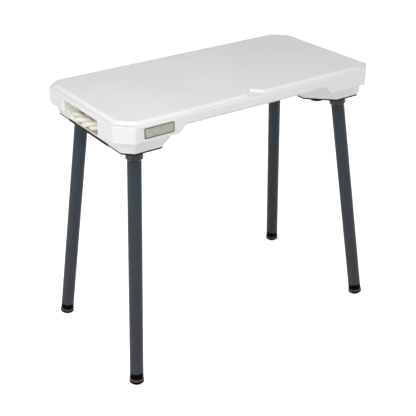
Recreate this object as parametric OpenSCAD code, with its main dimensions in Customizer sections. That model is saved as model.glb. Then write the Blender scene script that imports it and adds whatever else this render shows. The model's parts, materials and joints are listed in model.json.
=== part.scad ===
// Convertible outdoor table: a moulded top on four splayed legs that twist loose and pull out.
// The origin is on the floor below the middle of the top, +X along its length, the front is -Y.

/* [Top] */
// Length of the moulded top over its end walls
top_length = 844; // [800:1:960]
// Width of the moulded top over its long walls
top_width = 440; // [420:1:500]
// Height of the worktop above the floor
table_height = 768.5; // [650:0.5:860]
// Depth of the top at its end pods
top_depth = 86; // [84:0.5:96]
// Depth of the end walls below the worktop
end_wall_depth = 52.5; // [47:0.5:56]
// Depth of the long walls between the pods
middle_depth = 34; // [30:0.5:38]
// Wall thickness of the hollow moulding
wall = 5; // [4:0.25:6]
// Plan length cut off each corner of the walls
corner_cut = 42; // [34:1:52]
// Plan radius of the corners of the walls
corner_radius = 9; // [6:0.5:14]
// Radius of the outer upper edge of the walls
rim_radius = 2.5; // [1.5:0.25:4]
// Distance from the end walls to the raised stretch between the pods, at its upper end
span_inset = 188; // [172:1:202]
// Height of the slanted lower edge of the long walls between the pods
middle_edge_rise = 6; // [3:0.5:7]
// How far that edge slants in
middle_edge_run = 3; // [1:0.25:3.5]

/* [Raised worktop] */
// Height of the worktop above the ledge round it
plateau_rise = 7; // [5:0.25:9]
// Distance from the walls to the foot of the worktop's bevel
ledge_inset = 12; // [10:0.5:15]
// Plan width of the worktop's bevel
bevel_run = 8; // [6:0.5:11]
// Plan length cut off each corner of the worktop
plateau_cut = 35; // [30:1:44]
// Depth of the V notch in each long edge of the worktop
notch_depth = 31; // [22:1:40]

/* [Pods] */
// Distance from the end walls to the pods' end faces at the pods' foot
pod_inset = 23; // [21:0.5:25]
// Distance from the long walls to the pods' long faces at the pods' foot
pod_side_inset = 20; // [18:0.5:24]
// How far the pods' outer faces lean out up to the walls' lower edge
pod_draft = 7; // [4:0.5:10]
// Plan length cut off the pods' outer corners
pod_corner_cut = 26; // [22:1:34]
// Length of each pod at its foot, from the end wall to the pod's inner face
pod_length = 195; // [190:0.5:200]
// Plan length cut off the pods' inner corners
pod_inner_cut = 66; // [57:1:69]
// Lean of the pods' inner faces, run over rise
pod_inner_slope = 0.8; // [0.6:0.05:0.9]
// Radius of the pods' lower edge
pod_edge = 2; // [1.5:0.25:3.5]

/* [Handle recess] */
// Width of the recess in each end wall
recess_width = 191; // [186:1:200]
// Height of the recess's ceiling above its floor
recess_height = 57; // [52:0.5:58]
// Radius of the recess's edge in the end wall
mouth_radius = 5; // [2:0.5:7]
// Thickness of the recess's floor
recess_floor = 9; // [8:0.25:11]
// Depth of the recess from the end wall
recess_depth = 70; // [62:1:74]
// Height of the blocks that hold the rope above the recess's floor
block_rise = 13; // [10:0.5:15]
// Width of each rope block
block_width = 31; // [29:0.5:34]

/* [Rope handles] */
// Diameter of the rope
rope_d = 24; // [20:0.5:24]
// Clearance round the rope in its bores and at the recess's ends
rope_gap = 0.4; // [0.3:0.05:0.5]
// Distance from the end wall to the rope's two ends
rope_end_inset = 42; // [41:0.5:44]
// Distance from the end wall to the rope's outermost stretch
rope_bow_inset = 16; // [14:0.5:18]
// Room between the rope and the recess's ceiling
rope_headroom = 11; // [8:0.5:13]
// Outer diameter of the stopper on each rope end
stopper_d = 30; // [28:0.5:31]
// Length of each stopper
stopper_length = 10; // [8:0.25:11]

/* [Base plates] */
// Thickness of the plate under each pod
plate_t = 4; // [3:0.25:5]
// Distance from the pods' faces to the plate's edge
plate_inset = 1.25; // [1:0.25:1.75]
// Length of the turned-up lip below the handle
lip_length = 218; // [204:1:224]
// Height of the turned-up lip above the plate
lip_rise = 3.5; // [2.5:0.25:4.5]
// Thickness of the turned-up lip
lip_t = 3; // [2.5:0.25:3.5]
// Shank diameter of the plate screws
screw_d = 5; // [4:0.25:5.5]
// Head diameter of the plate screws
screw_head_d = 10; // [9:0.25:11]
// Head height of the plate screws
screw_head_h = 2.6; // [2:0.1:3.2]
// Distance from the end walls to the screws at the pods' outer corners
corner_screw_x = 37; // [36:0.5:38.5]
// Distance from the long walls to those screws
corner_screw_y = 60; // [58:0.5:62]
// Distance from the end walls to the screws along the pods' long sides
side_screw_x = 122; // [120:0.5:124]
// Distance from the long walls to those screws
side_screw_y = 38; // [37:0.5:40]
// Distance from the pods' inner faces to the screws beside them
inner_screw_gap = 15; // [14:0.5:17]
// Distance from the long walls to those screws
inner_screw_y = 120; // [116:1:124]
// Distance from the recess's back to the screws behind it
middle_screw_gap = 22; // [20:0.5:26]
// Distance from the long walls to those screws
middle_screw_y = 172; // [166:1:178]
// Length of the screws above the plate
screw_reach = 13; // [11:0.5:14]
// Outer diameter of the moulded-in threaded inserts
insert_d = 9; // [8:0.25:10]
// Length of the inserts
insert_length = 12; // [10:0.5:13]
// Radial clearance of screws and rivets in the plate
screw_gap = 0.3; // [0.2:0.05:0.5]

/* [Bumper pads] */
// Diameter of the rubber pads under the plates
pad_d = 39; // [34:1:42]
// Thickness of the pads below the plates
pad_t = 7.5; // [5:0.25:9]
// Distance from the end walls to the middle of each pad
pad_inset_x = 151; // [146:1:156]
// Distance from the long walls to the middle of each pad
pad_inset_y = 81; // [78:1:86]
// Diameter of each pad's stem in the plate
pad_stem_d = 8; // [6:0.5:9]

/* [Leg sockets] */
// Distance from the end walls to the legs' axes at the plates' lower face
seat_inset_x = 79; // [77:0.5:82]
// Distance from the long walls to the legs' axes at the plates' lower face
seat_inset_y = 76; // [73:0.5:79]
// Tilt of the legs from upright
leg_tilt = 8.33; // [6:0.1:10]
// Direction of the tilt, turned from the table's length
leg_turn = 47.5; // [44:0.5:50]
// Depth to which a leg stands in its socket above the plate's lower face
socket_depth = 54; // [44:0.5:58]
// Wall thickness of the socket's barrel
socket_wall = 2.1; // [1.8:0.1:2.5]
// Radial clearance of the leg in the socket
socket_gap = 0.15; // [0.1:0.05:0.25]
// Thickness of the socket's closed end
socket_end = 3; // [2:0.25:4]
// Diameter of the socket's flange
flange_d = 68; // [66:0.5:70]
// Thickness of the socket's flange
flange_t = 4; // [3:0.25:5]
// Diameter of the rivets through flange and plate
rivet_d = 4; // [3:0.25:4.5]
// Head diameter of those rivets
rivet_head_d = 6.4; // [5.5:0.1:6.6]
// Height of the rivet heads
rivet_head_h = 1.5; // [1:0.1:1.8]

/* [Locking collars] */
// Outer diameter over the collar's ribs
collar_d = 47; // [46.5:0.1:49]
// Length of the collar
collar_length = 29.5; // [22:0.5:36]
// Distance from the plate's lower face to the collar's upper edge, along the leg
collar_drop = 5; // [4.75:0.05:5.5]
// Number of grip ribs round the collar
collar_ribs = 16; // [12:1:20]
// Diameter of each rib
rib_d = 4; // [3:0.25:5]
// Height of the chamfer at the collar's lower edge
collar_chamfer = 4; // [2:0.25:5]
// Radial clearance between the collar and the socket's spigot
collar_gap = 0.2; // [0.1:0.05:0.25]
// Height of the grip ring inside the collar
grip_h = 2.4; // [1.6:0.1:2.8]
// Thickness of the lip inside the collar's lower end
collar_lip = 3.7; // [2.5:0.1:5]

/* [Legs] */
// Outer diameter of the leg tubes
tube_d = 38; // [35:0.1:38.2]
// Wall thickness of the leg tubes
tube_wall = 1.6; // [1.2:0.1:2.5]
// Length of the closing plug inside each tube's upper end
cap_length = 16; // [10:1:25]
// Thickness of that plug's head
cap_head = 2; // [1.5:0.25:3]

/* [Feet] */
// Length of the foot's sleeve between tube and wear ring
sleeve_length = 17; // [12:0.5:24]
// Length of the foot's shank inside the tube
shank_length = 30; // [20:1:45]
// Diameter of the wear ring at its lower edge
wear_ring_d = 41; // [39.5:0.1:43]
// Height of the wear ring
wear_ring_h = 6.5; // [4:0.25:9]
// Distance along the leg from the floor to the wear ring
wear_ring_rise = 14; // [12:0.25:16]
// Diameter of the foot's neck inside the wear ring
neck_d = 28; // [22:0.5:32]
// Diameter of the foot's domed tip
tip_d = 41.2; // [39:0.1:43]
// Radius of the dome
dome_radius = 27; // [25:0.5:30]
// Height by which the dome is worn flat on the floor
flat_depth = 1; // [0.6:0.1:1.4]
// Depth of the groove round the sleeve
groove_depth = 0.6; // [0.3:0.1:0.8]
// Width of that groove
groove_width = 2; // [1.5:0.25:3]

/* [Nameplate] */
// Width of the blank nameplate
nameplate_w = 87; // [70:0.5:92]
// Height of the nameplate
nameplate_h = 28; // [22:0.5:29]
// Thickness of the nameplate
nameplate_t = 1.6; // [1.2:0.1:2.4]
// Width of the nameplate's raised border
nameplate_border = 2.2; // [1.5:0.1:3]
// Depth of the field inside the border
nameplate_field = 0.5; // [0.3:0.1:0.8]
// Distance from the end wall to the middle of the nameplate
nameplate_inset = 110; // [104:0.5:116]
// Distance from the worktop to the middle of the nameplate
nameplate_drop = 28.25; // [28:0.25:30]

/* [Hidden] */

$fn = 64;
eps = 0.01;
over = 1;            // how far a cutter runs past the face that it opens
half_x = top_length / 2;
half_y = top_width / 2;
diagonal = 2 - sqrt(2);   // what a 45 degree cut loses for each unit of inset
fit_gap = 0.1;       // radial clearance of pieces that stay where they are put
least_radius = 2;    // smallest plan radius of a corner that is drawn in

// Heights of the main levels
z_top = table_height;
z_ledge = z_top - plateau_rise;
z_end = z_top - end_wall_depth;
z_middle = z_top - middle_depth;
z_pod = z_top - top_depth;
z_plate = z_pod - plate_t;
arc_steps = 3;       // facets round each plan corner
wall_foot = 0.8;     // chamfer at the lower edge of the walls
span_half = half_x - span_inset;

// Worktop
bevel_edge = 2;      // height of the soft upper edge of the bevel
edge_run = 1.5;      // how far that edge reaches in past the bevel
edge_middle = 0.3;   // share of its height left above its middle line
edge_share = (plateau_rise - bevel_edge) / plateau_rise;
plateau_radius = 6;

// Pods
pod_height = z_end - z_pod;
pod_inner_x = half_x - pod_length;
pod_outer_slope = pod_draft / pod_height;
pod_radius = 7;

// Handle recess
z_recess = z_pod + recess_floor;
block_radius = 4;
block_lean = 6;
skin = 0.7;          // extra thickness where two inner skins meet in one plane
rope_r = rope_d / 2;
bore_r = rope_r + rope_gap;
block_top = recess_floor + block_rise;
rope_foot = 2;
rope_end_x = half_x - rope_end_inset;
rope_end_y = recess_width / 2 - bore_r;
rope_out = rope_end_inset - rope_bow_inset;
rope_rise = recess_floor + recess_height - rope_headroom - rope_r - block_top;
pocket_gap = 0.3;
pocket_h = stopper_length + 2 * pocket_gap;

// The rope's middle line from its block to the middle of the recess, in shares of its way out, along and up
rope_shares = [
    [0, 1, 0.16], [0.1, 1, 0.35], [0.28, 0.99, 0.52], [0.5, 0.96, 0.68], [0.72, 0.885, 0.82],
    [0.86, 0.775, 0.91], [0.94, 0.63, 0.96], [0.98, 0.43, 1], [1, 0.21, 1]
];
rope_sides = 12;

// Sockets, collars and legs, measured along the leg from the plate's lower face, upwards
seat_x = half_x - seat_inset_x;
seat_y = half_y - seat_inset_y;
tube_r = tube_d / 2;
socket_r = tube_r + socket_gap;
barrel_r = socket_r + socket_wall;
socket_top = socket_depth + socket_end;
collar_bore_r = barrel_r + collar_gap;
collar_top = -collar_drop;
collar_bottom = collar_top - collar_length;
grip_seat = 0.2;     // play above and below the grip ring
spigot_length = collar_drop + collar_length - collar_lip - grip_h - 2 * grip_seat;
grip_top = -spigot_length - grip_seat;
grip_bottom = grip_top - grip_h;
collar_foot_wall = 1.6;   // what the chamfer leaves of the collar at its lower end
lip_bore_r = tube_r + 0.3;
rim_r = collar_d / 2 - rib_d / 4;
leg_reach = z_plate / cos(leg_tilt);
leg_end_gap = 0.2;   // play between the plug and the socket's closed end
tube_top = socket_depth - leg_end_gap - cap_head;
spigot_room = 0.8;   // play round the tilted spigot in the plate's upright hole
plate_hole_r = barrel_r + spigot_room;
flange_r = flange_d / 2;
flange_gap = 0.3;
rivet_edge = 1.5;    // distance between the rivets' heads and the flange's edge
rivet_circle = flange_r - rivet_head_d / 2 - rivet_edge;
rivet_count = 4;
rivet_taper = 1;
rivet_tail_h = 1.2;
rivet_tail_d = rivet_head_d - 0.6;

// Feet, measured along the leg from the floor
ring_low = wear_ring_rise;
ring_high = ring_low + wear_ring_h;
sleeve_top = ring_high + sleeve_length;
tube_bottom = sleeve_top - leg_reach;
dome_centre = (dome_radius - flat_depth) / cos(leg_tilt);
ring_soft = 0.8;     // height of the wear ring's chamfer
ring_lap = 0.1;      // how far the wear ring stands out from the sleeve above it

// Plates, their screws and pads, right-hand pod
lip_gap = 0.3;
lip_root = 2;        // how far the lip's foot reaches back under the plate's edge
screw_places = [
    [half_x - corner_screw_x, half_y - corner_screw_y],
    [half_x - side_screw_x, half_y - side_screw_y],
    [pod_inner_x + inner_screw_gap, half_y - inner_screw_y],
    [half_x - recess_depth - middle_screw_gap, half_y - middle_screw_y]
];
screw_taper = 0.8;
key_r = screw_d / 3;
key_depth = screw_head_h * 0.6;
pad_x = half_x - pad_inset_x;
pad_y = half_y - pad_inset_y;
insert_gap = 0.2;
insert_boss = 4;
pad_stem_r = pad_stem_d / 2;
pad_barb_r = pad_stem_r + 1.5;
pad_barb_h = 2;
pad_corner = 1.2;
barb_room = 0.5;

// Nameplate
nameplate_radius = 3;
field_radius = 1.5;

function unit(v) = v / norm(v);
function turn_sign(a, b) = a.x * b.y - a.y * b.x < 0 ? -1 : 1;
function spin2(v, a) = [v.x * cos(a) - v.y * sin(a), v.x * sin(a) + v.y * cos(a)];

// Points of an arc of radius r that rounds the corner at 'here'
function corner_arc(before, here, after, r, steps) =
    let (
        u = unit(before - here),
        w = unit(after - here),
        half = acos(u * w) / 2,
        centre = here + unit(u + w) * r / sin(half),
        start = here + u * r / tan(half) - centre,
        finish = here + w * r / tan(half) - centre,
        sweep = turn_sign(start, finish) * (180 - 2 * half)
    )
    [for (i = [0:steps]) centre + spin2(start, sweep * i / steps)];

function rounded(points, r, steps = arc_steps) =
    let (n = len(points))
    [for (i = [0:n - 1]) each corner_arc(points[(i + n - 1) % n], points[i], points[(i + 1) % n], r, steps)];

// Rectangle with its corners cut at 45 degrees, anticlockwise
function cut_rectangle(hx, hy, cut) = [
    [-hx + cut, -hy], [hx - cut, -hy], [hx, -hy + cut], [hx, hy - cut],
    [hx - cut, hy], [-hx + cut, hy], [-hx, hy - cut], [-hx, -hy + cut]
];

function wall_outline(inset, radius = corner_radius) =
    rounded(
        cut_rectangle(half_x - inset, half_y - inset, corner_cut - inset * diagonal),
        max(radius - inset, least_radius)
    );

function plateau_outline(inset) =
    let (full = ledge_inset + bevel_run)
    rounded(
        cut_rectangle(half_x - inset, half_y - inset, plateau_cut + (full - inset) * diagonal),
        plateau_radius
    );

// Right-hand pod at a height above its foot, drawn in by 'inset' all round
function pod_outline(rise, inset) =
    let (
        lean_out = pod_outer_slope * min(rise, pod_height),
        lean = pod_inner_slope * rise - inset,
        x0 = pod_inner_x - lean,
        x1 = half_x - pod_inset + lean_out - inset,
        y1 = half_y - pod_side_inset + lean_out - inset,
        outer_cut = pod_corner_cut + (lean_out - inset) * diagonal,
        inner_cut = pod_inner_cut + lean * (1 - sqrt(2)) + lean_out - inset
    )
    rounded([
        [x0 + inner_cut, -y1], [x1 - outer_cut, -y1], [x1, -y1 + outer_cut], [x1, y1 - outer_cut],
        [x1 - outer_cut, y1], [x0 + inner_cut, y1], [x0, y1 - inner_cut], [x0, -y1 + inner_cut]
    ], max(pod_radius - inset, least_radius));

// Solid through a stack of outlines that all have the same number of points
module loft(sections) {
    n = len(sections[0][1]);
    last = len(sections) - 1;
    points = [for (s = sections) for (p = s[1]) [p.x, p.y, s[0]]];
    sides = [
        for (k = [0:last - 1]) for (i = [0:n - 1])
            let (a = k * n + i, b = k * n + (i + 1) % n)
            each [[a, a + n, b + n], [a, b + n, b]]
    ];
    caps = [[for (i = [0:n - 1]) i], [for (i = [n - 1:-1:0]) last * n + i]];
    polyhedron(points, concat(sides, caps));
}

module both_ends() {
    children();
    mirror([1, 0, 0]) children();
}

module both_sides() {
    children();
    mirror([0, 1, 0]) children();
}

// Moves a right-hand, rear piece to the end and side that its node names
module at_end(left) {
    mirror([left ? 1 : 0, 0, 0]) children();
}

module at_corner(left, front) {
    mirror([left ? 1 : 0, 0, 0]) mirror([0, front ? 1 : 0, 0]) children();
}

// Leg frame: its origin is where the leg's axis meets the plate's lower face, +Z up the leg
module leg_frame() {
    translate([seat_x, seat_y, z_plate]) rotate([0, 0, leg_turn]) rotate([0, -leg_tilt, 0]) children();
}

module leg_ring(low, high, outer_r, inner_r) {
    translate([0, 0, low]) difference() {
        cylinder(r = outer_r, h = high - low);
        translate([0, 0, -over]) cylinder(r = inner_r, h = high - low + 2 * over);
    }
}

// Moulded top

module slab() {
    soft = rim_radius * (1 - cos(45));
    edge_inset = ledge_inset + (bevel_run * (1 + edge_share) + edge_run) / 2;
    loft([
        [z_end, wall_outline(wall_foot)],
        [z_end + wall_foot, wall_outline(0)],
        [z_ledge - rim_radius, wall_outline(0)],
        [z_ledge - soft, wall_outline(soft)],
        [z_ledge, wall_outline(rim_radius)],
        [z_ledge + eps, wall_outline(rim_radius + eps)]
    ]);
    loft([
        [z_ledge - wall, plateau_outline(ledge_inset)],
        [z_ledge, plateau_outline(ledge_inset)],
        [z_top - bevel_edge, plateau_outline(ledge_inset + bevel_run * edge_share)],
        [z_top - bevel_edge * edge_middle, plateau_outline(edge_inset)],
        [z_top, plateau_outline(ledge_inset + bevel_run + edge_run)]
    ]);
}

module slab_hollow() {
    full = ledge_inset + bevel_run + wall;
    loft([
        [z_end + wall, wall_outline(wall)],
        [z_ledge - wall - rim_radius, wall_outline(wall)],
        [z_ledge - wall, wall_outline(wall + rim_radius)]
    ]);
    loft([
        [z_ledge - 2 * wall, plateau_outline(ledge_inset + wall)],
        [z_ledge - wall, plateau_outline(ledge_inset + wall)],
        [z_top - wall, plateau_outline(full)]
    ]);
}

// Clear stretch under the middle of the top, with 45 degree ends; 'grow' adds to it all round
module middle_clearance(grow) {
    reach = half_y + over;
    drop = z_middle - z_end + over;
    half = span_half + grow * (sqrt(2) - 1);
    translate([0, reach, 0]) rotate([90, 0, 0]) linear_extrude(2 * reach) polygon([
        [-half, z_middle + grow], [-half - drop - grow, z_end - over],
        [half + drop + grow, z_end - over], [half, z_middle + grow]
    ]);
}

// Cuts the slanted lower edge of the long wall between the pods
module middle_edge() {
    foot = half_y - middle_edge_run;
    translate([-span_half, 0, z_middle]) rotate([90, 0, 90]) linear_extrude(2 * span_half) polygon([
        [foot, 0], [half_y, middle_edge_rise], [half_y + over, middle_edge_rise], [half_y + over, -over],
        [foot, -over]
    ]);
}

// V notch at the front edge of the worktop, its sides leaning like the bevel
module notch(grow) {
    apex = half_y - ledge_inset - bevel_run - notch_depth;
    run = bevel_run / plateau_rise;
    low = z_ledge - grow;
    high = z_top + over;
    function v_outline(z) =
        let (
            back = apex + (z_top - z) * run * sqrt(2) - grow * sqrt(2),
            reach = half_y + ledge_inset
        )
        [[0, -back], [-(reach - back), -reach], [reach - back, -reach]];
    loft([[low, v_outline(low)], [high, v_outline(high)]]);
}

module pod() {
    soft = pod_edge * (1 - cos(45));
    lift = z_middle - z_pod + wall;
    translate([0, 0, z_pod]) loft([
        [0, pod_outline(0, pod_edge)],
        [soft, pod_outline(soft, soft)],
        [pod_edge, pod_outline(pod_edge, 0)],
        [pod_height, pod_outline(pod_height, 0)],
        [lift, pod_outline(lift, 0)]
    ]);
}

module pod_hollow() {
    lift = z_middle - z_pod + wall + skin;
    translate([0, 0, z_pod]) loft([
        [wall, pod_outline(wall, wall)],
        [pod_height, pod_outline(pod_height, wall)],
        [lift, pod_outline(lift, wall)]
    ]);
}

// Outline of the handle recess seen from the end, with the two rope blocks standing in its floor
function recess_outline(grow) =
    let (
        hy = recess_width / 2 + grow,
        top = z_recess + recess_height + grow,
        low = z_recess - grow,
        step = z_recess + block_rise - grow,
        inner = recess_width / 2 - block_width
    )
    rounded([
        [-hy, step], [-inner, step], [-inner + block_lean, low], [inner - block_lean, low],
        [inner, step], [hy, step], [hy, top], [-hy, top]
    ], block_radius);

// 'soft' rounds the recess's edge in the end wall
module recess(grow, soft) {
    translate([half_x - recess_depth - grow, 0, 0]) rotate([90, 0, 90])
        linear_extrude(recess_depth + grow + 2 * over) polygon(recess_outline(grow));
    translate([half_x - soft, 0, 0]) rotate([90, 0, 90]) loft(concat(
        [for (a = [0:15:75]) [soft * sin(a), recess_outline(grow + soft * (1 - cos(a)))]],
        [[soft + over, recess_outline(grow + soft)]]
    ));
}

// The pod's lower edge is cut back for the plate's turned-up lip
module lip_rebate() {
    translate([half_x - pod_inset - pod_edge - lip_gap, -lip_length / 2 - lip_gap, z_pod - over])
        cube([pod_inset + pod_edge, lip_length + 2 * lip_gap, lip_rise + lip_gap + over]);
}

module rope_pockets() {
    both_sides() translate([rope_end_x, rope_end_y, z_pod - over]) {
        cylinder(d = stopper_d + 2 * pocket_gap, h = pocket_h + over);
        cylinder(r = bore_r, h = block_top + block_radius + over);
    }
}

module insert_holes(grow) {
    for (p = screw_places) both_sides() translate([p.x, p.y, z_pod - over])
        cylinder(d = insert_d + 2 * grow, h = insert_length + insert_gap + over + grow);
}

module socket_hole(grow) {
    leg_frame() translate([0, 0, -spigot_length])
        cylinder(r = barrel_r + grow, h = spigot_length + socket_top + grow);
    translate([seat_x, seat_y, z_pod - over])
        cylinder(r = flange_r + flange_gap + grow, h = flange_t + rivet_tail_h + flange_gap + over + grow);
}

module pad_holes(grow) {
    both_sides() translate([pad_x, pad_y, z_pod - over])
        cylinder(r = pad_barb_r + barb_room + grow, h = pad_barb_h + barb_room + over + grow);
}

// Everything that is sunk into one end of the top, drawn larger by 'grow' for the skin round it
module end_pockets(grow) {
    both_sides() socket_hole(grow);
    insert_holes(grow);
    pad_holes(grow);
}

module top_shell() {
    color("whitesmoke") difference() {
        union() {
            difference() {
                slab();
                middle_clearance(0);
                both_sides() middle_edge();
            }
            both_ends() pod();
        }
        difference() {
            union() {
                difference() {
                    slab_hollow();
                    middle_clearance(wall);
                }
                both_ends() pod_hollow();
            }
            both_sides() notch(wall);
            both_ends() {
                recess(wall + skin, mouth_radius);
                end_pockets(insert_boss);
            }
        }
        both_sides() notch(0);
        both_ends() {
            recess(0, mouth_radius);
            lip_rebate();
            rope_pockets();
            end_pockets(fit_gap);
        }
    }
}

// Base plates and what fastens them

module base_plate() {
    edge = half_x - pod_inset - pod_edge;
    color("#1c1c1e") difference() {
        union() {
            translate([0, 0, z_plate]) linear_extrude(plate_t) polygon(pod_outline(0, plate_inset));
            translate([edge - lip_root, -lip_length / 2, z_plate])
                cube([lip_root + lip_t, lip_length, plate_t]);
            translate([edge, -lip_length / 2, z_plate]) cube([lip_t, lip_length, plate_t + lip_rise]);
        }
        both_sides() translate([0, 0, z_plate - over]) {
            translate([seat_x, seat_y, 0]) cylinder(r = plate_hole_r, h = plate_t + 2 * over);
            translate([pad_x, pad_y, 0]) cylinder(r = pad_stem_r + fit_gap, h = plate_t + 2 * over);
            for (p = screw_places) translate([p.x, p.y, 0])
                cylinder(d = screw_d + 2 * screw_gap, h = plate_t + 2 * over);
            rivet_pattern() cylinder(d = rivet_d + 2 * screw_gap, h = plate_t + 2 * over);
        }
    }
}

module rivet_pattern() {
    translate([seat_x, seat_y, 0]) for (i = [0:rivet_count - 1])
        rotate([0, 0, leg_turn + 45 + 360 / rivet_count * i]) translate([rivet_circle, 0, 0]) children();
}

module plate_screws() {
    color("silver") for (p = screw_places) both_sides() translate([p.x, p.y, z_plate]) {
        difference() {
            translate([0, 0, -screw_head_h])
                cylinder(d1 = screw_head_d - 2 * screw_taper, d2 = screw_head_d, h = screw_head_h);
            translate([0, 0, -screw_head_h - over]) cylinder(r = key_r, h = over + key_depth, $fn = 6);
        }
        translate([0, 0, -eps]) cylinder(d = screw_d, h = screw_reach + eps);
    }
}

module plate_inserts() {
    color("goldenrod") for (p = screw_places) both_sides() translate([p.x, p.y, z_pod]) difference() {
        cylinder(d = insert_d, h = insert_length);
        translate([0, 0, -over]) cylinder(d = screw_d + fit_gap, h = insert_length + 2 * over);
    }
}

module bumper_pads() {
    color("#202022") both_sides() translate([pad_x, pad_y, z_plate]) {
        translate([0, 0, -pad_t]) cylinder(d1 = pad_d - 2 * pad_corner, d2 = pad_d, h = pad_corner);
        translate([0, 0, -pad_t + pad_corner]) cylinder(d = pad_d, h = pad_t - pad_corner);
        translate([0, 0, -eps]) cylinder(r = pad_stem_r, h = plate_t + eps + pad_barb_h);
        translate([0, 0, plate_t]) cylinder(r1 = pad_barb_r, r2 = pad_stem_r, h = pad_barb_h);
    }
}

module socket_rivets() {
    color("#55585b") both_sides() rivet_pattern() translate([0, 0, z_plate]) {
        translate([0, 0, -rivet_head_h])
            cylinder(d1 = rivet_head_d - 2 * rivet_taper, d2 = rivet_head_d, h = rivet_head_h);
        translate([0, 0, -eps]) cylinder(d = rivet_d, h = plate_t + flange_t + eps);
        translate([0, 0, plate_t + flange_t]) cylinder(d = rivet_tail_d, h = rivet_tail_h);
    }
}

// Leg sockets

module socket() {
    color("#3a3d40") difference() {
        union() {
            translate([seat_x, seat_y, z_pod]) cylinder(r = flange_r, h = flange_t);
            leg_frame() translate([0, 0, -spigot_length])
                cylinder(r = barrel_r, h = spigot_length + socket_top);
        }
        leg_frame() translate([0, 0, -spigot_length - over])
            cylinder(r = socket_r, h = spigot_length + over + socket_depth);
        rivet_pattern() translate([0, 0, z_pod - over])
            cylinder(d = rivet_d + fit_gap, h = flange_t + 2 * over);
    }
}

// Locking collars

module collar() {
    color("#2b2d30") leg_frame() difference() {
        intersection() {
            union() {
                translate([0, 0, collar_bottom]) cylinder(r = rim_r, h = collar_length);
                for (i = [0:collar_ribs - 1]) rotate([0, 0, 360 / collar_ribs * i])
                    translate([collar_d / 2 - rib_d / 2, 0, collar_bottom])
                        cylinder(d = rib_d, h = collar_length, $fn = 24);
            }
            union() {
                translate([0, 0, collar_bottom + collar_chamfer])
                    cylinder(r = collar_d / 2 + over, h = collar_length - collar_chamfer + over);
                translate([0, 0, collar_bottom])
                    cylinder(r1 = tube_r + collar_foot_wall, r2 = collar_d / 2 + over, h = collar_chamfer);
            }
        }
        translate([0, 0, grip_bottom - grip_seat]) cylinder(r = collar_bore_r, h = collar_length);
        translate([0, 0, collar_bottom - over]) cylinder(r = lip_bore_r, h = collar_length);
    }
}

module grip_ring() {
    color("ivory") leg_frame() leg_ring(grip_bottom, grip_top, barrel_r, tube_r + fit_gap);
}

// Legs

module leg_tube() {
    color("#465055") leg_frame() leg_ring(tube_bottom, tube_top, tube_r, tube_r - tube_wall);
}

module tube_plug() {
    color("#222224") leg_frame() {
        translate([0, 0, tube_top - cap_length]) cylinder(r = tube_r - tube_wall, h = cap_length + eps);
        translate([0, 0, tube_top]) cylinder(r = tube_r, h = cap_head);
    }
}

module foot() {
    color("#161617") difference() {
        leg_frame() translate([0, 0, -leg_reach]) difference() {
            union() {
                intersection() {
                    translate([0, 0, dome_centre]) sphere(r = dome_radius, $fn = 96);
                    translate([0, 0, -dome_radius]) cylinder(d = tip_d, h = dome_radius + ring_low);
                }
                translate([0, 0, ring_low - eps]) cylinder(d = neck_d, h = wear_ring_h + 2 * eps);
                translate([0, 0, ring_high]) cylinder(r = tube_r, h = sleeve_length);
                translate([0, 0, sleeve_top - eps]) cylinder(r = tube_r - tube_wall, h = shank_length + eps);
            }
            translate([0, 0, ring_high + sleeve_length / 2]) difference() {
                cylinder(r = tube_r + over, h = groove_width, center = true);
                cylinder(r = tube_r - groove_depth, h = groove_width + over, center = true);
            }
        }
        translate([seat_x, seat_y, -dome_radius]) cylinder(r = 4 * dome_radius, h = dome_radius);
    }
}

module wear_ring() {
    color("#4a2c2a") leg_frame() translate([0, 0, ring_low - leg_reach]) difference() {
        union() {
            cylinder(d1 = wear_ring_d - 2 * ring_soft, d2 = wear_ring_d, h = ring_soft);
            translate([0, 0, ring_soft])
                cylinder(d1 = wear_ring_d, d2 = tube_d + 2 * ring_lap, h = wear_ring_h - ring_soft);
        }
        translate([0, 0, -over]) cylinder(d = neck_d, h = wear_ring_h + 2 * over);
    }
}

// Rope handles

// Tube swept along a route of points; each ring stands across the route's direction there
module swept_tube(route, r, sides) {
    last = len(route) - 1;
    function heading(i) = unit(route[min(i + 1, last)] - route[max(i - 1, 0)]);
    function ring(i) =
        let (t = heading(i), side = unit(cross(t, [1, 0, 0.4])), up = cross(side, t))
        [for (k = [0:sides - 1]) route[i] + r * (cos(360 / sides * k) * side + sin(360 / sides * k) * up)];
    points = [for (i = [0:last]) each ring(i)];
    walls = [
        for (i = [0:last - 1]) for (k = [0:sides - 1])
            let (a = i * sides + k, b = i * sides + (k + 1) % sides)
            each [[a, b, b + sides], [a, b + sides, a + sides]]
    ];
    caps = [[for (k = [sides - 1:-1:0]) k], [for (k = [0:sides - 1]) last * sides + k]];
    polyhedron(points, concat(walls, caps));
}

function rope_point(share, side) =
    [rope_end_x + rope_out * share.x, side * rope_end_y * share.y, block_top + rope_rise * share.z];

// The straight end of the rope in its block
function rope_end(side) = [for (z = [rope_foot, block_top / 2]) [rope_end_x, side * rope_end_y, z]];

module rope_handle() {
    last = len(rope_shares) - 1;
    route = concat(
        rope_end(-1),
        [for (s = rope_shares) rope_point(s, -1)],
        [rope_point([1, 0, 1], 1)],
        [for (i = [last:-1:0]) rope_point(rope_shares[i], 1)],
        [for (i = [1:-1:0]) rope_end(1)[i]]
    );
    color("#e6dcc4") translate([0, 0, z_pod]) swept_tube(route, rope_r, rope_sides);
}

module rope_stoppers() {
    color("silver") both_sides() translate([rope_end_x, rope_end_y, z_pod + pocket_gap]) difference() {
        cylinder(d = stopper_d, h = stopper_length);
        translate([0, 0, -over]) cylinder(r = rope_r + fit_gap, h = stopper_length + 2 * over);
    }
}

// Nameplate

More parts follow.
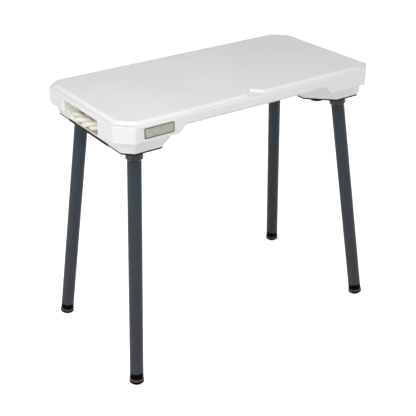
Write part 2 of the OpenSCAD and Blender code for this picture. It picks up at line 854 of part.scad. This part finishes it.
module nameplate_blank(w, h, r, t) {
    rotate([90, 0, 0]) linear_extrude(t) polygon(rounded([
        [-w / 2, -h / 2], [w / 2, -h / 2], [w / 2, h / 2], [-w / 2, h / 2]
    ], r));
}

module nameplate() {
    color("#b9b49f") translate([nameplate_inset - half_x, -half_y, z_top - nameplate_drop]) difference() {
        nameplate_blank(nameplate_w, nameplate_h, nameplate_radius, nameplate_t);
        translate([0, -nameplate_t + nameplate_field, 0]) nameplate_blank(
            nameplate_w - 2 * nameplate_border, nameplate_h - 2 * nameplate_border, field_radius,
            nameplate_t
        );
    }
}

top_shell();
at_end(true) base_plate();  // left_base_plate
at_end(false) base_plate();  // right_base_plate
at_end(true) plate_screws();  // left_plate_screws
at_end(false) plate_screws();  // right_plate_screws
at_end(true) plate_inserts();  // left_plate_inserts
at_end(false) plate_inserts();  // right_plate_inserts
at_end(true) bumper_pads();  // left_bumper_pads
at_end(false) bumper_pads();  // right_bumper_pads
at_end(true) socket_rivets();  // left_socket_rivets
at_end(false) socket_rivets();  // right_socket_rivets
at_corner(true, true) socket();  // front_left_socket
at_corner(true, false) socket();  // rear_left_socket
at_corner(false, true) socket();  // front_right_socket
at_corner(false, false) socket();  // rear_right_socket
at_corner(true, true) collar();  // front_left_collar
at_corner(true, false) collar();  // rear_left_collar
at_corner(false, true) collar();  // front_right_collar
at_corner(false, false) collar();  // rear_right_collar
at_corner(true, true) grip_ring();  // front_left_grip_ring
at_corner(true, false) grip_ring();  // rear_left_grip_ring
at_corner(false, true) grip_ring();  // front_right_grip_ring
at_corner(false, false) grip_ring();  // rear_right_grip_ring
at_corner(true, true) leg_tube();  // front_left_leg_tube
at_corner(true, false) leg_tube();  // rear_left_leg_tube
at_corner(false, true) leg_tube();  // front_right_leg_tube
at_corner(false, false) leg_tube();  // rear_right_leg_tube
at_corner(true, true) tube_plug();  // front_left_tube_plug
at_corner(true, false) tube_plug();  // rear_left_tube_plug
at_corner(false, true) tube_plug();  // front_right_tube_plug
at_corner(false, false) tube_plug();  // rear_right_tube_plug
at_corner(true, true) foot();  // front_left_foot
at_corner(true, false) foot();  // rear_left_foot
at_corner(false, true) foot();  // front_right_foot
at_corner(false, false) foot();  // rear_right_foot
at_corner(true, true) wear_ring();  // front_left_wear_ring
at_corner(true, false) wear_ring();  // rear_left_wear_ring
at_corner(false, true) wear_ring();  // front_right_wear_ring
at_corner(false, false) wear_ring();  // rear_right_wear_ring
at_end(true) rope_handle();  // left_rope_handle
at_end(false) rope_handle();  // right_rope_handle
at_end(true) rope_stoppers();  // left_rope_stoppers
at_end(false) rope_stoppers();  // right_rope_stoppers
nameplate();
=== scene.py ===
import json
import math

import bmesh
import bpy
from mathutils import Matrix, Vector


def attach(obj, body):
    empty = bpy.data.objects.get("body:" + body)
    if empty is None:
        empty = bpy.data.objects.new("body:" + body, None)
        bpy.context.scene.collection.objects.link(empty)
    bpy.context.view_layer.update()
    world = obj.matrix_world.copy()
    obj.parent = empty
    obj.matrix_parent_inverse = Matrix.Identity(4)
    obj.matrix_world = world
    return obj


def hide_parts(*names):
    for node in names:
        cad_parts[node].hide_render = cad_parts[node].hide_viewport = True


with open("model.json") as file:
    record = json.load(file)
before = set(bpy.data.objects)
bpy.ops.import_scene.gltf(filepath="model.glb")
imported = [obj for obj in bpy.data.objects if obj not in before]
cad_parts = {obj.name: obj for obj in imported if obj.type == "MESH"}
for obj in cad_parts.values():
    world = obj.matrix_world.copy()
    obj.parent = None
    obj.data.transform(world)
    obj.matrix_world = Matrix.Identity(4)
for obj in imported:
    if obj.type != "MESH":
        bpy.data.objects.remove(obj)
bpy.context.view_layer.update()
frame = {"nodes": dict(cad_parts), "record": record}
scene = bpy.context.scene

# The camera stands where the photo was taken from; its lens and shift give the photo's framing.
CAMERA_PLACE = (-1.36348, -1.96563, 1.57184)
CAMERA_AZIMUTH = math.radians(33.004)
CAMERA_DROP = math.radians(26.436)
CAMERA_ROLL = math.radians(-0.96)
PICTURE = 416            # pixels
FOCAL_PIXELS = 886.877
PICTURE_CENTRE = (188.377, 195.085)
SENSOR = 36.0            # millimetres


def make_camera():
    data = bpy.data.cameras.new("camera")
    data.sensor_width = SENSOR
    data.lens = FOCAL_PIXELS / PICTURE * SENSOR
    data.shift_x = (PICTURE / 2 - PICTURE_CENTRE[0]) / PICTURE
    data.shift_y = -(PICTURE / 2 - PICTURE_CENTRE[1]) / PICTURE
    camera = bpy.data.objects.new("camera", data)
    scene.collection.objects.link(camera)
    forward = Vector((math.sin(CAMERA_AZIMUTH) * math.cos(CAMERA_DROP),
                      math.cos(CAMERA_AZIMUTH) * math.cos(CAMERA_DROP), -math.sin(CAMERA_DROP)))
    right = Vector((math.cos(CAMERA_AZIMUTH), -math.sin(CAMERA_AZIMUTH), 0))
    up = right.cross(forward)
    rolled_right = math.cos(CAMERA_ROLL) * right + math.sin(CAMERA_ROLL) * up
    rolled_up = -math.sin(CAMERA_ROLL) * right + math.cos(CAMERA_ROLL) * up
    turn = Matrix((rolled_right, rolled_up, -forward)).transposed()
    camera.matrix_world = Matrix.Translation(CAMERA_PLACE) @ turn.to_4x4()
    scene.camera = camera


make_camera()
scene.view_settings.view_transform = "Standard"


# Materials. A mix node's colour sockets go by number, because its other kinds share their names.
MIX_FIRST = 6
MIX_SECOND = 7
MIX_RESULT = 2

# Rays that a rounded edge is averaged from
BEVEL_SAMPLES = 6


class Material:
    """A node material with short calls for the nodes used here."""

    def __init__(self, name, **sockets):
        self.data = bpy.data.materials.new(name)
        self.data.use_nodes = True
        self.tree = self.data.node_tree
        self.shader = self.tree.nodes["Principled BSDF"]
        for socket, value in sockets.items():
            self.shader.inputs[socket.replace("_", " ")].default_value = value
        self.place = self.node("ShaderNodeTexCoord").outputs["Object"]

    def node(self, kind, **values):
        made = self.tree.nodes.new(kind)
        for key, value in values.items():
            if key in made.inputs.keys():
                made.inputs[key].default_value = value
            else:
                setattr(made, key, value)
        return made

    def link(self, output, target):
        self.tree.links.new(output, target)

    def noise(self, scale, detail=2.0, stretch=None):
        place = self.place
        if stretch:
            mapping = self.node("ShaderNodeMapping")
            mapping.inputs["Scale"].default_value = stretch
            self.link(place, mapping.inputs["Vector"])
            place = mapping.outputs["Vector"]
        made = self.node("ShaderNodeTexNoise", Scale=scale, Detail=detail)
        self.link(place, made.inputs["Vector"])
        return made.outputs["Fac"]

    def folded(self):
        """The place with each coordinate made positive, so that mirrored pieces look alike."""
        made = self.node("ShaderNodeVectorMath", operation="ABSOLUTE")
        self.link(self.place, made.inputs[0])
        return made.outputs["Vector"]

    def axes(self, place):
        """A place's X, Y and Z."""
        made = self.node("ShaderNodeSeparateXYZ")
        self.link(place, made.inputs["Vector"])
        return made.outputs

    def span(self, value, low, high, to_low=0.0, to_high=1.0):
        made = self.node("ShaderNodeMapRange")
        made.inputs["From Min"].default_value = low
        made.inputs["From Max"].default_value = high
        made.inputs["To Min"].default_value = to_low
        made.inputs["To Max"].default_value = to_high
        self.link(value, made.inputs["Value"])
        return made.outputs["Result"]

    def grain(self, scale, detail=2.0, low=0.3, high=0.7, to_low=0.0, to_high=1.0, stretch=None):
        """Noise whose middle values, from low to high, are spread over the range asked for."""
        return self.span(self.noise(scale, detail, stretch), low, high, to_low, to_high)

    def maths(self, operation, first, second):
        made = self.node("ShaderNodeMath", operation=operation)
        for socket, value in zip(made.inputs, (first, second)):
            if isinstance(value, (int, float)):
                socket.default_value = value
            else:
                self.link(value, socket)
        return made.outputs["Value"]

    def blend(self, mask, first, second):
        made = self.node("ShaderNodeMix", data_type="RGBA")
        self.link(mask, made.inputs["Factor"])
        for socket, value in ((made.inputs[MIX_FIRST], first), (made.inputs[MIX_SECOND], second)):
            if isinstance(value, tuple):
                socket.default_value = (*value, 1)
            else:
                self.link(value, socket)
        return made.outputs[MIX_RESULT]

    def colour(self, output):
        self.link(output, self.shader.inputs["Base Color"])

    def rough(self, output):
        self.link(output, self.shader.inputs["Roughness"])

    def relief(self, heights, edge=0.0):
        """Bumps, coarse first, each (height, strength, distance); 'edge' rounds the edges in metres."""
        normal = None
        if edge:
            bevel = self.node("ShaderNodeBevel", samples=BEVEL_SAMPLES)
            bevel.inputs["Radius"].default_value = edge
            normal = bevel.outputs["Normal"]
        for height, strength, distance in heights:
            bump = self.node("ShaderNodeBump", Strength=strength, Distance=distance)
            self.link(height, bump.inputs["Height"])
            if normal:
                self.link(normal, bump.inputs["Normal"])
            normal = bump.outputs["Normal"]
        self.link(normal, self.shader.inputs["Normal"])


def speckled(name, tones, colour_grain, rough_grain, bumps, edge, **sockets):
    """Two close tones in a grain, a grain of roughness, and bumps of a (scale, strength, distance)."""
    m = Material(name, **sockets)
    m.colour(m.blend(m.grain(*colour_grain), *tones))
    m.rough(m.grain(*rough_grain))
    scale, strength, distance = bumps
    m.relief([(m.noise(scale), strength, distance)], edge)
    return m.data


# The handle recess's inner faces, for positive x and y, where painted light makes the plastic paler and
# warmer, and how softly that painted light sets in
RECESS_LOW = (0.3520, -1.0, 0.6900)
RECESS_HIGH = (0.4200, 0.0970, 0.7500)
RECESS_SOFT = 0.001


def recess_light_mask(m):
    mask = 1.0
    for place, low, high in zip(m.axes(m.folded()), RECESS_LOW, RECESS_HIGH):
        mask = m.maths("MULTIPLY", mask, m.span(place, low, low + RECESS_SOFT))
        mask = m.maths("MULTIPLY", mask, m.span(place, high - RECESS_SOFT, high, 1.0, 0.0))
    return mask


def moulded_plastic():
    """White polyethylene with painted light in the recess: paler and warmer there, standing in for light
    and the rope's bounced colour filling it.
    """
    m = Material("moulded_plastic", Roughness=0.45, Specular_IOR_Level=0.4)
    m.shader.inputs["Subsurface Weight"].default_value = 0.06
    m.shader.inputs["Subsurface Radius"].default_value = (0.004, 0.004, 0.0035)
    white = m.blend(m.grain(5.0, 3.0, 0.35, 0.65), (0.80, 0.80, 0.785), (0.83, 0.83, 0.82))
    # Painted light: inside the recess the white turns paler and warmer, standing in for light and the
    # rope's bounced colour.
    m.colour(m.blend(recess_light_mask(m), white, (0.95, 0.94, 0.89)))
    m.rough(m.grain(40.0, 3.0, 0.3, 0.7, 0.40, 0.52))
    m.relief([(m.noise(160.0), 0.12, 0.0006), (m.noise(900.0), 0.16, 0.0002)], edge=0.0022)
    return m.data


# Heights between which the legs' colour turns from grey to blue-grey, a painted reflection laid over the
# one slate paint
REFLECTION_GREY_HEIGHT = 0.15
REFLECTION_BLUE_HEIGHT = 0.6


def slate_paint():
    m = Material("slate_paint", Roughness=0.35, Specular_IOR_Level=0.12)
    height = m.span(m.axes(m.place)["Z"], REFLECTION_GREY_HEIGHT, REFLECTION_BLUE_HEIGHT)
    cloud = m.grain(14.0, 3.0, stretch=(1, 1, 0.3))
    grey = m.blend(cloud, (0.039, 0.042, 0.050), (0.046, 0.048, 0.058))
    blue = m.blend(cloud, (0.034, 0.049, 0.059), (0.041, 0.057, 0.068))
    # Painted reflection: the legs are greyer low down and bluer higher up.
    m.colour(m.blend(height, grey, blue))
    m.rough(m.grain(60.0, 3.0, 0.3, 0.7, 0.38, 0.5))
    m.relief([(m.noise(1100.0), 0.12, 0.0002)])
    return m.data


def black_coating():
    return speckled(
        "black_coating",
        tones=((0.006, 0.006, 0.007), (0.011, 0.011, 0.012)),
        colour_grain=(30.0, 4.0, 0.35, 0.65),
        rough_grain=(80.0, 3.0, 0.3, 0.7, 0.38, 0.55),
        bumps=(900.0, 0.15, 0.0002),
        edge=0.0006,
        Roughness=0.45,
        Specular_IOR_Level=0.06,
    )


def collar_plastic():
    return speckled(
        "collar_plastic",
        tones=((0.024, 0.025, 0.029), (0.036, 0.037, 0.042)),
        colour_grain=(60.0, 3.0, 0.35, 0.65),
        rough_grain=(200.0, 3.0, 0.3, 0.7, 0.12, 0.22),
        bumps=(700.0, 0.05, 0.0002),
        edge=0.0006,
        Roughness=0.16,
        Specular_IOR_Level=0.3,
    )


def foot_rubber():
    return speckled(
        "foot_rubber",
        tones=((0.002, 0.002, 0.0025), (0.004, 0.004, 0.005)),
        colour_grain=(90.0, 4.0, 0.35, 0.7),
        rough_grain=(150.0, 3.0, 0.3, 0.7, 0.28, 0.5),
        bumps=(800.0, 0.08, 0.0002),
        edge=0.0008,
        Roughness=0.3,
        Specular_IOR_Level=0.01,
    )


def pad_rubber():
    return speckled(
        "pad_rubber",
        tones=((0.008, 0.008, 0.009), (0.02, 0.02, 0.02)),
        colour_grain=(120.0, 4.0, 0.35, 0.7),
        rough_grain=(150.0, 3.0, 0.3, 0.7, 0.65, 0.85),
        bumps=(600.0, 0.3, 0.0003),
        edge=0.0008,
        Roughness=0.75,
    )


# The darker tone in a metal's grain, as a share of its own tone
METAL_SHADE = 0.85


def metal(name, tone, smoothest, roughest, metallic=1.0):
    shade = tuple(METAL_SHADE * v for v in tone)
    return speckled(
        name,
        tones=(shade, tone),
        colour_grain=(150.0, 3.0),
        rough_grain=(400.0, 3.0, 0.3, 0.7, smoothest, roughest),
        bumps=(900.0, 0.1, 0.0002),
        edge=0.0003,
        Metallic=metallic,
    )


# Direction down each leg, for positive x and y, and how far along it the wear ring's brown lip ends
LEG_TILT = math.radians(8.33)
LEG_TURN = math.radians(47.5)
LEG_DOWN = (
    math.sin(LEG_TILT) * math.cos(LEG_TURN),
    math.sin(LEG_TILT) * math.sin(LEG_TURN),
    -math.cos(LEG_TILT),
)
RING_LIP = 0.0452
RING_LIP_SOFT = 0.0004


def ring_plastic():
    m = Material("ring_plastic", Roughness=0.35, Specular_IOR_Level=0.12)
    down = m.node("ShaderNodeVectorMath", operation="DOT_PRODUCT")
    m.link(m.folded(), down.inputs[0])
    down.inputs[1].default_value = LEG_DOWN
    lower = m.span(down.outputs["Value"], RING_LIP - RING_LIP_SOFT, RING_LIP + RING_LIP_SOFT)
    grain = m.grain(120.0, 3.0, 0.35, 0.65)
    brown = m.blend(grain, (0.085, 0.022, 0.020), (0.12, 0.034, 0.030))
    # Painted highlight: below the brown lip the ring is a lighter greenish grey, standing in for the
    # floor's reflection on its lower rim.
    dark = m.blend(grain, (0.060, 0.062, 0.055), (0.085, 0.088, 0.078))
    m.colour(m.blend(lower, brown, dark))
    m.rough(m.grain(200.0, 3.0, 0.3, 0.7, 0.28, 0.42))
    m.relief([(m.noise(700.0), 0.08, 0.0002)], edge=0.0005)
    return m.data


def nylon():
    m = Material("nylon", Roughness=0.4)
    m.colour(m.blend(m.grain(100.0), (0.62, 0.58, 0.48), (0.7, 0.67, 0.58)))
    m.relief([(m.noise(900.0), 0.1, 0.0002)])
    return m.data


# The blank nameplate: a dark raised border round a khaki field, told apart by their depth
PLATE_FACE = -0.2216
PLATE_FIELD = -0.2211
PLATE_SOFT = 0.0001


def nameplate_enamel():
    m = Material("nameplate_enamel", Roughness=0.4)
    middle = (PLATE_FACE + PLATE_FIELD) / 2
    field = m.span(m.axes(m.place)["Y"], middle - PLATE_SOFT, middle + PLATE_SOFT)
    khaki = m.blend(m.grain(60.0, 4.0), (0.40, 0.385, 0.325), (0.47, 0.455, 0.39))
    m.colour(m.blend(field, (0.006, 0.006, 0.007), khaki))
    brushed = m.noise(300.0, stretch=(0.05, 1, 1))
    m.rough(m.span(brushed, 0.3, 0.7, 0.35, 0.5))
    m.relief([(brushed, 0.08, 0.0002)])
    return m.data


# How far out of the grooves the rope's painted shade reaches, beyond which the rope has its full colour
GROOVE_SHADE_REACH = 0.6


def rope_fibre():
    m = Material("rope_fibre", Roughness=0.8, Specular_IOR_Level=0.2)
    m.shader.inputs["Sheen Weight"].default_value = 0.25
    m.shader.inputs["Sheen Roughness"].default_value = 0.4
    height = m.node("ShaderNodeAttribute", attribute_name="height").outputs["Fac"]
    straw = m.blend(m.grain(140.0, 4.0), (0.88, 0.83, 0.72), (0.94, 0.90, 0.81))
    # Painted shade: the colour turns brown where the height is low, deep in the grooves between strands
    # and yarns.
    m.colour(m.blend(m.span(height, 0.0, GROOVE_SHADE_REACH), (0.74, 0.62, 0.48), straw))
    m.relief([(m.noise(500.0, 3.0), 0.35, 0.0004), (m.noise(1800.0), 0.3, 0.0002)])
    return m.data


materials = {
    "moulded_plastic": moulded_plastic(),
    "coated_plate": black_coating(),
    "steel": metal("zinc_steel", (0.55, 0.56, 0.57), 0.25, 0.42),
    "brass": metal("turned_brass", (0.6, 0.43, 0.16), 0.22, 0.38),
    "black_rubber": pad_rubber(),
    "cast_socket": metal("cast_aluminium", (0.16, 0.165, 0.17), 0.4, 0.6, 0.8),
    "collar_plastic": collar_plastic(),
    "nylon": nylon(),
    "coated_tube": slate_paint(),
    "black_plastic": black_coating(),
    "foot_rubber": foot_rubber(),
    "ring_plastic": ring_plastic(),
    "rope": rope_fibre(),
    "plate_enamel": nameplate_enamel(),
}


def dress_nodes():
    for part in frame["record"]["subparts"]:
        slots = frame["nodes"][part["node"]].data.materials
        slots.clear()
        slots.append(materials[part["material_slot"]])


dress_nodes()


# Rope handles: three strands of seven yarns each. The ends stand where the CAD solid's ends stand;
# between the blocks the rope hangs lower than the solid's stiff line, as a soft rope does.
POD_FOOT = 0.6825        # height of the end pods' lower faces
BLOCK_TOP = 0.022        # above the pods' foot
ROPE_FOOT = 0.002        # the rope's ends, above the pods' foot
ROPE_END_X = 0.380
ROPE_END_Y = 0.0831
ROPE_OUT = 0.026         # how far the solid's middle stands outside its ends
ROPE_RISE = 0.021        # and above the blocks
# The middle line from a block to the middle, in shares of its way out, along and up
ROPE_SHARES = (
    (0, 1, 0.20), (0.08, 0.99, 0.42), (0.24, 0.96, 0.58), (0.46, 0.905, 0.655), (0.69, 0.82, 0.65),
    (0.84, 0.70, 0.62), (0.93, 0.55, 0.57), (0.98, 0.37, 0.50), (1, 0.18, 0.45),
)
ROPE_MIDDLE = (1, 0, 0.43)
ROPE_RADIUS = 0.012
ROPE_SWELL = 0.0022      # added to the radius in the middle, where no bore holds the rope
ROPE_LAY = 0.125         # length in which the strands go once round the rope
STRANDS = 3
STRAND_SHARE = 0.517     # a strand's radius, as a share of the rope's
STRAND_LAY = 0.050       # length in which the yarns go once round their strand
STRAND_SIDES = 42
YARNS = 7
# YARN_SHADE, GROOVE_FOOT and GROOVE_HEIGHT set the rope's painted shade: its colour darkens deep in the
# grooves between strands and between yarns.
YARN_RIDGE = 0.00042     # half the depth between two yarns
YARN_SHADE = 0.25        # half of what the height for the colour loses there, as a share
GROOVE_FOOT = 0.52       # where the grooves between strands start, as a share of the rope's radius
GROOVE_HEIGHT = 0.3      # and how much further out they end
ROPE_STEP = 0.0016       # between two rings of the mesh
CURVE_PARTS = 16         # parts into which the curve between two points is cut


def rope_line(sign):
    """The rope's middle line, from its front end to its rear end."""
    half = [(0, 1, (z - BLOCK_TOP) / ROPE_RISE) for z in (ROPE_FOOT, BLOCK_TOP / 2)] + list(ROPE_SHARES)
    line = [(x, -y, z) for x, y, z in half] + [ROPE_MIDDLE] + list(reversed(half))
    blocks = POD_FOOT + BLOCK_TOP
    return [
        Vector((sign * (ROPE_END_X + ROPE_OUT * x), ROPE_END_Y * y, blocks + ROPE_RISE * z))
        for x, y, z in line
    ]


def smooth_line(points, step):
    """Points a step apart on a smooth curve through the given ones."""
    fine = []
    for i in range(len(points) - 1):
        before = points[max(i - 1, 0)]
        here = points[i]
        there = points[i + 1]
        after = points[min(i + 2, len(points) - 1)]
        for k in range(CURVE_PARTS):
            t = k / CURVE_PARTS
            fine.append(0.5 * ((2 * here) + (there - before) * t
                               + (2 * before - 5 * here + 4 * there - after) * t * t
                               + (3 * here - before - 3 * there + after) * t ** 3))
    fine.append(points[-1])
    even = [fine[0]]
    run = 0.0
    for a, b in zip(fine, fine[1:]):
        run += (b - a).length
        if run >= step:
            even.append(b)
            run = 0.0
    return even


def strand_mesh(line, phase):
    """One strand round the rope's middle line; 'height' is how far its skin stands out of the grooves,
    and it sets the rope's painted shade in them.
    """
    bm = bmesh.new()
    height = bm.verts.layers.float.new("height")
    heading = (line[1] - line[0]).normalized()
    side = heading.orthogonal().normalized()
    rings = []
    along = 0.0
    for i, point in enumerate(line):
        free = max(0.0, 1 - (point.y / ROPE_END_Y) ** 2)
        radius = ROPE_RADIUS + ROPE_SWELL * free * free
        strand = radius * STRAND_SHARE
        ahead = line[min(i + 1, len(line) - 1)] - line[max(i - 1, 0)]
        ahead.normalize()
        side = (side - ahead * side.dot(ahead)).normalized()
        up = ahead.cross(side)
        if i:
            along += (point - line[i - 1]).length
        turn = phase - 2 * math.pi * along / ROPE_LAY
        outward = side * math.cos(turn) + up * math.sin(turn)
        centre = point + outward * (radius - strand)
        across = ahead.cross(outward)
        twist = 2 * math.pi * along / STRAND_LAY
        ring = []
        for k in range(STRAND_SIDES):
            angle = 2 * math.pi * k / STRAND_SIDES
            ridge = math.cos(YARNS * (angle + twist))
            reach = strand - YARN_RIDGE * (1 - ridge)
            v = bm.verts.new(centre + (outward * math.cos(angle) + across * math.sin(angle)) * reach)
            clear = max(0.0, ((v.co - point).length / radius - GROOVE_FOOT) / GROOVE_HEIGHT)
            v[height] = clear * (1 - YARN_SHADE + YARN_SHADE * ridge)
            ring.append(v)
        rings.append(ring)
    for low, high in zip(rings, rings[1:]):
        for k in range(STRAND_SIDES):
            n = (k + 1) % STRAND_SIDES
            bm.faces.new((low[k], low[n], high[n], high[k])).smooth = True
    bm.faces.new(list(reversed(rings[0])))
    bm.faces.new(rings[-1])
    return bm


def make_rope(end, sign):
    line = smooth_line(rope_line(sign), ROPE_STEP)
    whole = bpy.data.meshes.new(end + "_twisted_rope")
    joined = bmesh.new()
    joined.verts.layers.float.new("height")
    for s in range(STRANDS):
        strand = strand_mesh(line, 2 * math.pi * s / STRANDS)
        part = bpy.data.meshes.new("strand")
        strand.to_mesh(part)
        joined.from_mesh(part)
        strand.free()
        bpy.data.meshes.remove(part)
    joined.to_mesh(whole)
    joined.free()
    rope = bpy.data.objects.new(end + "_twisted_rope", whole)
    scene.collection.objects.link(rope)
    rope.data.materials.append(materials["rope"])
    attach(rope, "top")
    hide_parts(end + "_rope_handle")


for end, sign in (("left", -1), ("right", 1)):
    make_rope(end, sign)


# Floor, world and lamps
FLOOR_REACH = 14.0
FLOOR_SIDES = 48
FLOOR_LIFT = 0.85
WORLD_STRENGTH = 0.2
# Each lamp's name, place, the point that it faces, width and power
LAMPS = (
    ("left", (-1.9, -0.05, 0.73), (-0.42, 0, 0.72), 0.8, 6.8),
    ("front_left", (-2.0, -2.2, 1.7), (-0.2, -0.1, 0.72), 1.0, 12.5),
    ("front", (0.8, -2.9, 1.5), (0.1, -0.2, 0.7), 1.6, 14.0),
    ("above", (-1.1, -1.0, 2.9), (-0.1, 0, 0.77), 1.8, 46.0),
    ("right", (2.8, -0.9, 1.05), (0.3, 0, 0.7), 1.6, 13.5),
)


def background_rays(tree):
    """One for rays that show the background, and zero for those that light the object."""
    path = tree.nodes.new("ShaderNodeLightPath")
    found = path.outputs["Is Camera Ray"]
    for kind in ("Is Glossy Ray", "Is Transmission Ray"):
        either = tree.nodes.new("ShaderNodeMath")
        either.operation = "MAXIMUM"
        tree.links.new(found, either.inputs[0])
        tree.links.new(path.outputs[kind], either.inputs[1])
        found = either.outputs["Value"]
    return found


def make_floor():
    bm = bmesh.new()
    rim = []
    for k in range(FLOOR_SIDES):
        angle = 2 * math.pi * k / FLOOR_SIDES
        rim.append(bm.verts.new((FLOOR_REACH * math.cos(angle), FLOOR_REACH * math.sin(angle), 0)))
    bm.faces.new(rim)
    mesh = bpy.data.meshes.new("studio_floor")
    bm.to_mesh(mesh)
    bm.free()
    floor = bpy.data.objects.new("studio_floor", mesh)
    scene.collection.objects.link(floor)
    m = Material("studio_floor", Roughness=0.9, Specular_IOR_Level=0.0)
    m.shader.inputs["Base Color"].default_value = (0.9, 0.9, 0.9, 1)
    m.shader.inputs["Emission Color"].default_value = (1, 1, 1, 1)
    lift = m.maths("MULTIPLY", background_rays(m.tree), FLOOR_LIFT)
    m.link(lift, m.shader.inputs["Emission Strength"])
    floor.data.materials.append(m.data)


def make_world():
    world = bpy.data.worlds.new("studio")
    scene.world = world
    world.use_nodes = True
    tree = world.node_tree
    strength = tree.nodes.new("ShaderNodeMapRange")
    strength.inputs["To Min"].default_value = WORLD_STRENGTH
    strength.inputs["To Max"].default_value = 1.0
    tree.links.new(background_rays(tree), strength.inputs["Value"])
    back = tree.nodes["Background"]
    back.inputs["Color"].default_value = (1, 1, 1, 1)
    tree.links.new(strength.outputs["Result"], back.inputs["Strength"])


def make_lamp(name, place, target, size, energy):
    data = bpy.data.lights.new(name, "AREA")
    data.energy = energy
    data.size = size
    lamp = bpy.data.objects.new(name, data)
    scene.collection.objects.link(lamp)
    lamp.location = place
    lamp.rotation_euler = (Vector(target) - Vector(place)).to_track_quat("-Z", "Y").to_euler()


make_floor()
make_world()
for lamp in LAMPS:
    make_lamp(*lamp)
